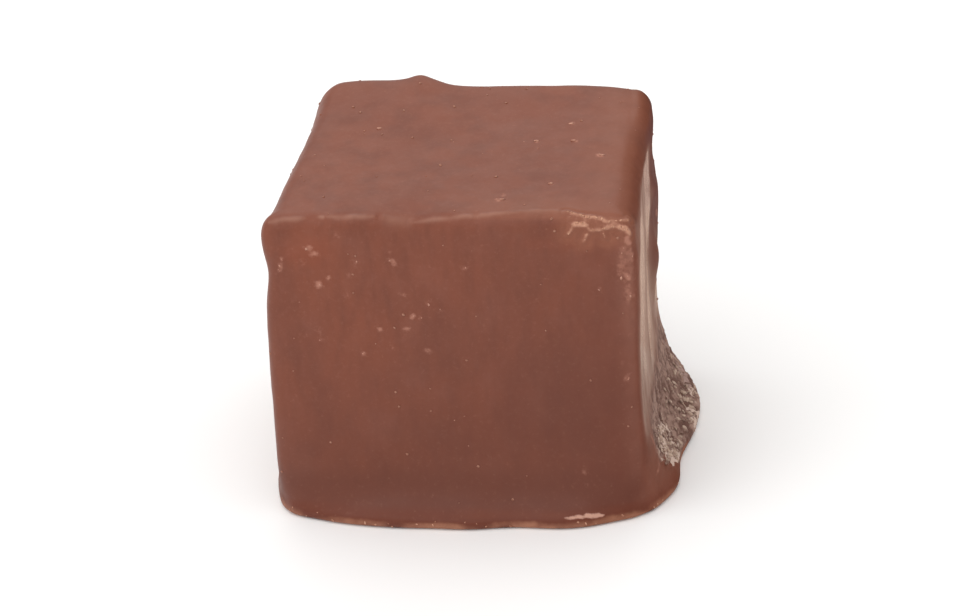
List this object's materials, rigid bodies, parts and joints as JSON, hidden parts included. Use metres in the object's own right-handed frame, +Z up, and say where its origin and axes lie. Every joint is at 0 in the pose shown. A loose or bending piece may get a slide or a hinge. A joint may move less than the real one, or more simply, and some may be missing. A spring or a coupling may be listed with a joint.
{
  "type": "chocolate-coated turkish delight",
  "caption": "Single hand-cut cube of jelly confectionery coated in milk chocolate, with softly rounded edges and a thin spread foot where the coating pooled.",
  "frame": {"origin": "on the surface it stands on, under the middle of its outline", "axes": "+Z up, front face towards -Y, the longer side of the block along X"},
  "size_m": [0.03, 0.0254, 0.0247],
  "materials": {
    "milk_chocolate": "set milk chocolate, dull satin, with faint mottling, pale specks and a little grey bloom on the foot"
  },
  "bodies": {
    "root": {"coated_delight": "milk_chocolate"}
  },
  "joints": []
}
